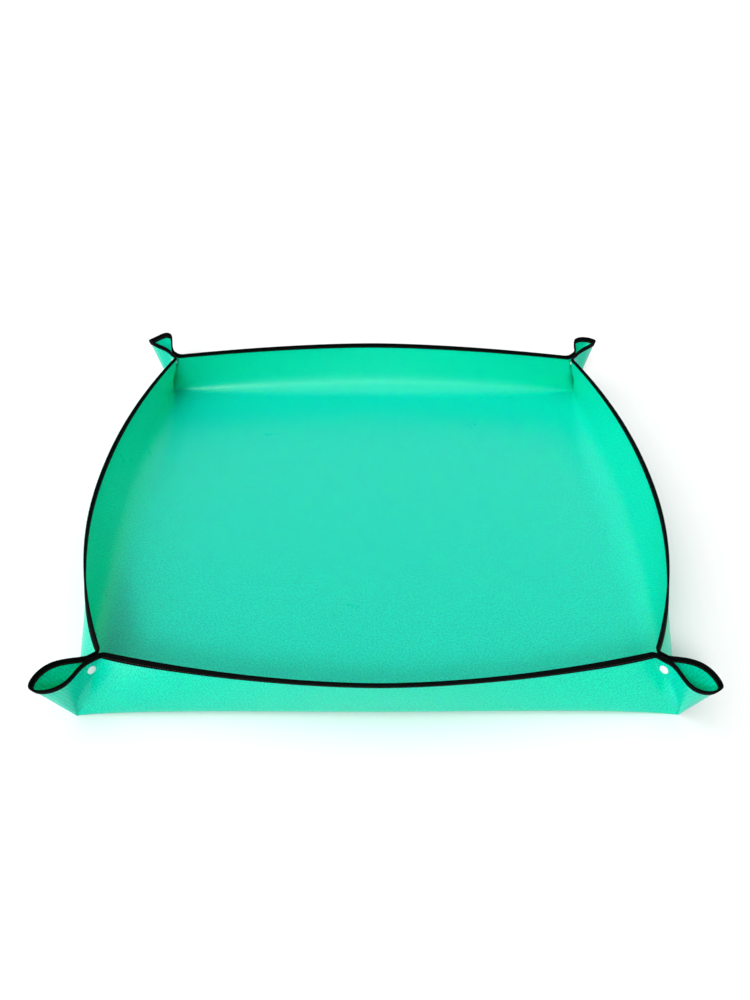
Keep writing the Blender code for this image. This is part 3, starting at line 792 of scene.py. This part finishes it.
def cloth_finish(colours):
    """Coated woven cloth with a soft sheen, which lets light through and more of it green.

    The weave is the product of two crossed rows of bands, broken up by noise. The coating over it is
    mottled and fibrous.
    """
    finish = Finish("coated_cloth")
    cut = finish.cut_place()
    waves = [finish.bands(cut, colours.weave_period, way) for way in ("X", "Y")]
    weave = finish.math("MULTIPLY", *[finish.math("MULTIPLY_ADD", wave, 2.0, -1.0) for wave in waves])
    uneven = finish.between(finish.noise(cut, scale=90.0, detail=2.0), -0.6, 1.8)
    weave = finish.math("MULTIPLY", weave, uneven)
    fibre = finish.noise(cut, scale=380.0, detail=2.0)
    mottle = finish.noise(cut, scale=38.0, detail=5.0, roughness=0.62)
    broad = finish.noise(cut, scale=6.0, detail=2.0)
    raised = finish.math("MULTIPLY_ADD", weave, 0.5, 0.5)
    height = finish.math("ADD", raised, finish.math("MULTIPLY", fibre, 0.5))
    deep = shade(colours.cloth_colour, 0.88)
    pale = shade(colours.cloth_colour, 1.10)
    mottled = finish.mixed(finish.between(mottle, 0.15, 0.85), deep, pale)
    threads = finish.math("MULTIPLY_ADD", weave, 0.6, finish.between(fibre, -1.4, 2.2), clamp=True)
    dulled = finish.math("ADD", broad, finish.math("MULTIPLY", mottle, 0.5))
    finish.set(
        Base_Color=finish.mixed(threads, mottled, shade(colours.cloth_colour, 0.72)),
        Roughness=finish.between(dulled, 0.21, 0.33), Specular_IOR_Level=0.27,
        Subsurface_Weight=0.8, Subsurface_Scale=0.001, Subsurface_Radius=(0.1, 1.6, 0.45),
    )
    finish.bump(height, distance=0.00028)
    return finish.material


def tape_finish(colours):
    """Black binding tape: ribs across it a little under a millimetre apart, paler on their crests and darker
    between them, unevenly along the ribs.
    """
    finish = Finish("edge_binding")
    cut = finish.cut_place()
    ribs = finish.bands(cut, 0.0009, "X")
    fibre = finish.noise(cut, scale=900.0, detail=2.0)
    lint = finish.noise(cut, scale=120.0, detail=3.0)
    top = finish.math("MULTIPLY", ribs, finish.between(lint, 0.2, 0.8))
    finish.set(
        Base_Color=finish.mixed(top, shade(colours.tape_colour, 0.6), shade(colours.tape_colour, 2.0)),
        Roughness=finish.between(fibre, 0.72, 0.92), Specular_IOR_Level=0.03,
    )
    finish.bump(finish.math("ADD", ribs, finish.math("MULTIPLY", fibre, 0.6)), distance=0.00012)
    return finish.material


def thread_finish(colours):
    """Sewing thread: dark brown, a shade lighter than the tape, and uneven with its twist."""
    finish = Finish("sewing_thread")
    twist = finish.noise(finish.solid_place(), scale=2500.0, detail=1.0)
    finish.set(
        Base_Color=finish.mixed(twist, shade(colours.thread_colour, 0.7), shade(colours.thread_colour, 1.3)),
        Roughness=0.5,
    )
    finish.bump(twist, distance=0.00005)
    return finish.material


def snap_finish(colours):
    """Moulded white plastic: glossy, with a barely uneven skin."""
    finish = Finish("snap_plastic")
    skin = finish.noise(finish.solid_place(), scale=260.0, detail=2.0)
    finish.set(
        Base_Color=finish.mixed(skin, shade(colours.snap_colour, 0.97), colours.snap_colour),
        Roughness=finish.between(skin, 0.16, 0.24), Subsurface_Weight=0.05,
    )
    finish.bump(skin, distance=0.00002)
    return finish.material


def bench_finish(colours):
    """White bench: pale to the light, and white to the eye, so that it keeps the mat's shadow."""
    finish = Finish("bench")
    colour = finish.mixed(finish.seen(), colours.bench_colour, WHITE)
    finish.set(Base_Color=colour, Roughness=0.9, Specular_IOR_Level=0.0)
    return finish.material


class RepottingMatSizes(bpy.types.PropertyGroup):
    """Measures of the cloth, the binding and its stitches"""

    cloth_thickness: bpy.props.FloatProperty(
        name="Cloth thickness", description="Thickness of the coated cloth", default=0.0006, min=0.0003,
        max=0.001, unit="LENGTH", precision=4,
    )
    floor_slack: bpy.props.FloatProperty(
        name="Floor slack", description="Height of the long waves in the floor panel", default=0.0012,
        min=0.0, max=0.004, unit="LENGTH", precision=4,
    )
    tape_width: bpy.props.FloatProperty(
        name="Tape width", description="How far the binding reaches down each face of the cloth",
        default=0.0075, min=0.006, max=0.014, unit="LENGTH", precision=4,
    )
    tape_thickness: bpy.props.FloatProperty(
        name="Tape half thickness", description="From the middle of the cloth to the binding's face",
        default=0.0015, min=0.0008, max=0.0020, unit="LENGTH", precision=4,
    )
    stitch_pitch: bpy.props.FloatProperty(
        name="Stitch pitch", description="Distance between two stitches", default=0.0034, min=0.002,
        max=0.006, unit="LENGTH", precision=4,
    )
    stitch_length: bpy.props.FloatProperty(
        name="Stitch length", description="Visible length of a stitch", default=0.0026, min=0.001,
        max=0.005, unit="LENGTH", precision=4,
    )
    thread_width: bpy.props.FloatProperty(
        name="Thread width", description="Width of the sewing thread", default=0.0005, min=0.0003,
        max=0.001, unit="LENGTH", precision=4,
    )


class RepottingMatFinishes(bpy.types.PropertyGroup):
    """Colours, weave and light"""

    cloth_colour: bpy.props.FloatVectorProperty(
        name="Cloth", description="Colour of the coated cloth", subtype="COLOR", size=4, min=0, max=1,
        default=(0.000, 0.755, 0.530, 1.0),
    )
    tape_colour: bpy.props.FloatVectorProperty(
        name="Binding", description="Colour of the edge binding", subtype="COLOR", size=4, min=0, max=1,
        default=(0.0012, 0.0016, 0.0015, 1.0),
    )
    thread_colour: bpy.props.FloatVectorProperty(
        name="Thread", description="Colour of the sewing thread", subtype="COLOR", size=4, min=0, max=1,
        default=(0.070, 0.048, 0.036, 1.0),
    )
    snap_colour: bpy.props.FloatVectorProperty(
        name="Snaps", description="Colour of the snap fasteners", subtype="COLOR", size=4, min=0, max=1,
        default=(0.940, 0.950, 0.950, 1.0),
    )
    bench_colour: bpy.props.FloatVectorProperty(
        name="Bench", description="Colour of the bench under the mat", subtype="COLOR", size=4, min=0,
        max=1, default=(0.80, 0.80, 0.80, 1.0),
    )
    weave_period: bpy.props.FloatProperty(
        name="Weave period", description="Distance between two like threads of the weave",
        default=0.0052, min=0.001, max=0.01, unit="LENGTH", precision=4,
    )
    sky_strength: bpy.props.FloatProperty(
        name="Sky strength", description="Strength of the even light from all round", default=0.34,
        min=0.0, max=2.0,
    )
    lamp_strength: bpy.props.FloatProperty(
        name="Lamp strength", description="Strength of all the lamps together", default=1.0,
        min=0.0, max=10.0,
    )


def finish_of(name, maker):
    """A material that is made once and then shared."""
    return bpy.data.materials.get(name) or maker(bpy.context.scene.repotting_mat_finishes)


class MAT_OT_floor(bpy.types.Operator):
    """Make the floor panel, with the slack of cloth that has been folded away"""

    bl_idname = "repotting_mat.floor"
    bl_label = "Floor Panel"

    def execute(self, context):
        slack = context.scene.repotting_mat_sizes.floor_slack
        inner = HALF - SEAM_INSET
        place = np.linspace(-inner, inner, FLOOR_STEPS + 1)
        x, y = np.meshgrid(place, place, indexing="ij")

        def surface(x, y):
            return np.stack([x, y, floor_height(x, y, slack)], axis=-1)

        point, _, _, normal = slopes(surface, x, y, ALONG_STEP, ALONG_STEP)
        piece = cloth_piece("mat_floor", point, normal, np.stack([x, y], axis=-1))
        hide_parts("floor_panel")
        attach(piece, "floor")
        return {"FINISHED"}


class MAT_OT_walls(bpy.types.Operator):
    """Make the four walls, each with its strip of the floor inside the fold"""

    bl_idname = "repotting_mat.walls"
    bl_label = "Walls"

    def execute(self, context):
        across, drop = np.meshgrid(wall_stations(), wall_rows(), indexing="ij")
        inner = HALF + np.minimum(drop, 0)
        for wall in map(Wall, WALLS):
            point, _, _, normal = slopes(wall.wall_point, across, drop, ALONG_STEP, SLOPE_STEP)
            places = wall.flat_place(across * inner, drop)
            piece = cloth_piece(f"{wall.name}_wall_cloth", point, normal, places)
            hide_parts(f"{wall.name}_wall")
            turn_at_fold(piece)
        return {"FINISHED"}


class MAT_OT_ears(bpy.types.Operator):
    """Make the eight ear halves, each from its wall's crease to the tip"""

    bl_idname = "repotting_mat.ears"
    bl_label = "Ears"

    def execute(self, context):
        drops = WALL_REACH * np.linspace(0, 1, EAR_ROWS + 1)
        for wall in map(Wall, WALLS):
            for end in (0, 1):
                point, _, _, normal, places = ear_grid(wall, end, drops)
                name = ear_name(wall, end)
                piece = cloth_piece(f"{name}_cloth", point, normal, places)
                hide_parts(name)
                turn_at_crease(piece, wall, end)
        return {"FINISHED"}


class MAT_OT_bindings(bpy.types.Operator):
    """Fold the black tape over the rims of the walls and ears"""

    bl_idname = "repotting_mat.bindings"
    bl_label = "Bindings"

    def execute(self, context):
        for wall in map(Wall, WALLS):
            name = f"{wall.name}_wall"
            piece = tape_piece(f"{name}_binding", wall.wall_point, wall_stations(), ALONG_STEP, 1)
            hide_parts(f"{name}_tape")
            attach(piece, f"{wall.name}_side")
            for end in (0, 1):
                surface, sign = ear_surface(wall, end)
                name = ear_name(wall, end)
                piece = tape_piece(f"{name}_binding", surface, ear_stations(), ROUND_STEP, sign)
                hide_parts(f"{name}_tape")
                turn_at_crease(piece, wall, end)
        return {"FINISHED"}


class MAT_OT_stitches(bpy.types.Operator):
    """Sew a row of stitches along both faces of every binding"""

    bl_idname = "repotting_mat.stitches"
    bl_label = "Stitching"

    def execute(self, context):
        sizes = context.scene.repotting_mat_sizes
        material = finish_of("sewing_thread", thread_finish)
        shape = (sizes.stitch_length, sizes.thread_width, sizes.thread_width * STITCH_FLATNESS)
        below = sizes.tape_width - STITCH_ABOVE_EDGE
        aside = sizes.tape_thickness * STITCH_SEAT_SHARE

        def sew(name, surface, stations, step, sign):
            margin = sizes.stitch_pitch / 2
            even = even_stations(surface, stations, sizes.stitch_pitch, margin)
            drop = np.full(even.shape, WALL_REACH - below)
            point, tangent, towards, normal = slopes(surface, even, drop, step, SLOPE_STEP)
            normal, tangent = sign * normal, sign * tangent
            return stitch_piece(
                name, np.concatenate([point + aside * normal, point - aside * normal]),
                np.concatenate([tangent, -tangent]), np.concatenate([towards, towards]),
                np.concatenate([normal, -normal]), shape, material,
            )

        for wall in map(Wall, WALLS):
            piece = sew(f"{wall.name}_wall_stitching", wall.wall_point, wall_stations(), ALONG_STEP, 1)
            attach(piece, f"{wall.name}_side")
            for end in (0, 1):
                surface, sign = ear_surface(wall, end)
                piece = sew(f"{ear_name(wall, end)}_stitching", surface, ear_stations(), ROUND_STEP, sign)
                turn_at_crease(piece, wall, end)
        return {"FINISHED"}


class MAT_OT_declare_sheets(bpy.types.Operator):
    """Goes through the walls and does nothing more"""

    bl_idname = "repotting_mat.declare_sheets"
    bl_label = "Sheets"

    def execute(self, context):
        for wall in map(Wall, WALLS):
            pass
        return {"FINISHED"}


class MAT_OT_snaps(bpy.types.Operator):
    """Make the caps, sockets and studs of the four snap fasteners"""

    bl_idname = "repotting_mat.snaps"
    bl_label = "Snap Fasteners"

    def execute(self, context):
        material = finish_of("snap_plastic", snap_finish)
        for corner in map(Corner, CORNERS):
            place, spread = snap_place(corner)
            seat = spread + SHEET_HALF + SNAP_CLEARANCE
            back = spread - SHEET_HALF - SNAP_CLEARANCE
            for wall_name, inner, profile in zip(
                corner.name.split("_"), ("socket", "stud"), (socket_profile(back), stud_profile(back))
            ):
                half = half_name(wall_name)
                axis = corner.aside(flat(WALLS[wall_name][0]))
                for node, shape in (
                    (f"{corner.name}_snap_cap_{half}", cap_profile(seat, back - SNAP_WEB)),
                    (f"{corner.name}_snap_{inner}", profile),
                ):
                    piece = turned_piece(f"{node}_moulding", shape, place, axis, material)
                    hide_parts(node)
                    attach(piece, f"{corner.name}_{half}_half")
        return {"FINISHED"}


class MAT_OT_stage(bpy.types.Operator):
    """Set the bench, the soft light and the camera"""

    bl_idname = "repotting_mat.stage"
    bl_label = "Stage"

    def execute(self, context):
        scene = context.scene
        colours = scene.repotting_mat_finishes
        corners = BENCH_REACH * np.array([(-1, -1, 0), (1, -1, 0), (1, 1, 0), (-1, 1, 0)])
        bench = new_piece("bench", corners, np.array([[0, 1, 2, 3]]), finish_of("bench", bench_finish))

        world = scene.world or bpy.data.worlds.new("studio")
        scene.world = world
        world.use_nodes = True
        world.node_tree.nodes.clear()
        sky = Nodes(world.node_tree)
        strength = sky.between(sky.seen(), colours.sky_strength, 1.0)
        background = sky.node("ShaderNodeBackground", {"Color": WHITE, "Strength": strength})
        sky.node("ShaderNodeOutputWorld", {"Surface": background.outputs[0]})

        for name, way, width, strength in LAMPS:
            light = bpy.data.lights.new(name, "SUN")
            light.energy = strength * colours.lamp_strength
            light.angle = math.radians(width)
            lamp = bpy.data.objects.new(name, light)
            lamp.rotation_mode = "QUATERNION"
            lamp.rotation_quaternion = Vector(way).to_track_quat("Z", "Y")
            scene.collection.objects.link(lamp)

        data = bpy.data.cameras.new("camera")
        data.lens = LENS
        data.sensor_width = SENSOR
        data.clip_start, data.clip_end = 0.01, 100.0
        camera = bpy.data.objects.new("camera", data)
        scene.collection.objects.link(camera)
        yaw, pitch, roll = CAMERA_YAW, CAMERA_PITCH, CAMERA_ROLL
        look = np.array([math.sin(yaw) * math.cos(pitch), math.cos(yaw) * math.cos(pitch), -math.sin(pitch)])
        right = np.array([math.cos(yaw), -math.sin(yaw), 0.0])
        up = np.cross(right, look)
        x_axis = right * math.cos(roll) + up * math.sin(roll)
        y_axis = -right * math.sin(roll) + up * math.cos(roll)
        turn = Matrix([list(row) for row in np.stack([x_axis, y_axis, -look], axis=1)]).to_4x4()
        camera.matrix_world = Matrix.Translation(CAMERA_PLACE) @ turn
        scene.camera = camera
        scene.view_settings.view_transform = "Standard"
        return {"FINISHED"}


STEPS = (
    MAT_OT_stage, MAT_OT_floor, MAT_OT_walls, MAT_OT_ears, MAT_OT_bindings, MAT_OT_stitches,
    MAT_OT_declare_sheets, MAT_OT_snaps,
)


class MAT_PT_panel(bpy.types.Panel):
    """Sidebar panel with every step, and the sizes and finishes that they use"""

    bl_idname = "MAT_PT_panel"
    bl_label = "Repotting Mat"
    bl_space_type = "VIEW_3D"
    bl_region_type = "UI"
    bl_category = "Repotting Mat"

    def draw(self, context):
        layout = self.layout
        for step in STEPS:
            layout.operator(step.bl_idname)
        for group in (context.scene.repotting_mat_sizes, context.scene.repotting_mat_finishes):
            column = layout.column()
            for name in group.__annotations__:
                column.prop(group, name)


CLASSES = (RepottingMatSizes, RepottingMatFinishes, *STEPS, MAT_PT_panel)


def register():
    """Makes the classes and the scene's two groups of settings known."""
    for cls in CLASSES:
        bpy.utils.register_class(cls)
    bpy.types.Scene.repotting_mat_sizes = bpy.props.PointerProperty(type=RepottingMatSizes)
    bpy.types.Scene.repotting_mat_finishes = bpy.props.PointerProperty(type=RepottingMatFinishes)


def unregister():
    """Takes back what register did, in the other order."""
    del bpy.types.Scene.repotting_mat_finishes
    del bpy.types.Scene.repotting_mat_sizes
    for cls in reversed(CLASSES):
        bpy.utils.unregister_class(cls)


def main():
    """Runs every step in order."""
    register()
    for step in STEPS:
        group, name = step.bl_idname.split(".")
        getattr(getattr(bpy.ops, group), name)()


if __name__ == "__main__":
    main()
